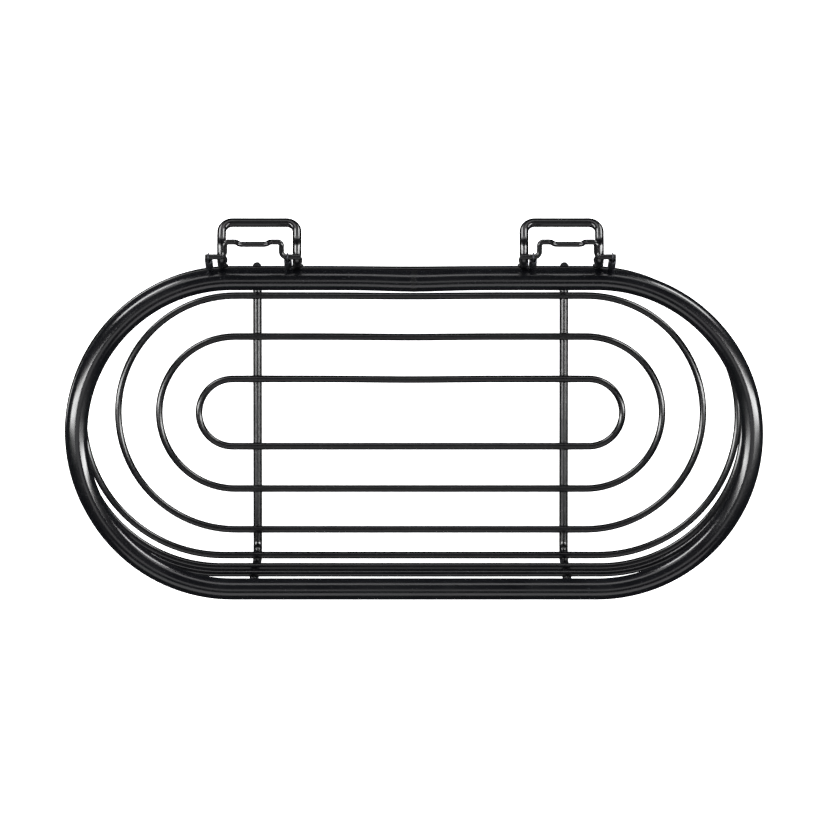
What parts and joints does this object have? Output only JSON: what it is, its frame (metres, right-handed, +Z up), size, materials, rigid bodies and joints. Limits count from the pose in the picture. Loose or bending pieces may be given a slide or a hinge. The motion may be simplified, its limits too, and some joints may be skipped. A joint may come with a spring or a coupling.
{
  "type": "hook-on wire basket",
  "caption": "Oval wire basket with a round tube rim, nested base rings, wall rings on bent ribs, and rear hooks with sprung wire levers that hang it on a carrier rail.",
  "frame": {"origin": "middle of the outline in plan, at the height of the undersides of the two ribs that the basket stands on", "axes": "+X along the basket's length, +Y towards the hooks at the back, +Z up out of the basket's mouth"},
  "size_m": [0.389, 0.214, 0.1847],
  "materials": {
    "black_powder_coat": "semi-gloss black powder coat on steel wire and tube",
    "spring_steel": "dark bright-drawn spring wire"
  },
  "bodies": {
    "basket": {"rim_tube": "black_powder_coat", "base_ring_inner": "black_powder_coat", "base_ring_middle": "black_powder_coat", "base_ring_outer": "black_powder_coat", "rib_left": "black_powder_coat", "rib_right": "black_powder_coat", "wall_ring_lower": "black_powder_coat", "wall_ring_middle": "black_powder_coat", "wall_ring_upper": "black_powder_coat", "hanger_ring": "black_powder_coat", "hook_left": "black_powder_coat", "hook_right": "black_powder_coat", "spring_left_inner": "spring_steel", "spring_left_outer": "spring_steel", "spring_right_inner": "spring_steel", "spring_right_outer": "spring_steel"},
    "left_lever": {"lever_left": "black_powder_coat"},
    "right_lever": {"lever_right": "black_powder_coat"}
  },
  "joints": [
    {"name": "left_lever_swing", "type": "hinge", "parent": "basket", "child": "left_lever", "pos_m": [-0.0885, 0.08603, 0.17539], "axis": [1, 0, 0], "range_deg": [0, 170]},
    {"name": "right_lever_swing", "type": "hinge", "parent": "basket", "child": "right_lever", "pos_m": [0.0854, 0.08603, 0.17539], "axis": [1, 0, 0], "range_deg": [0, 170]}
  ]
}
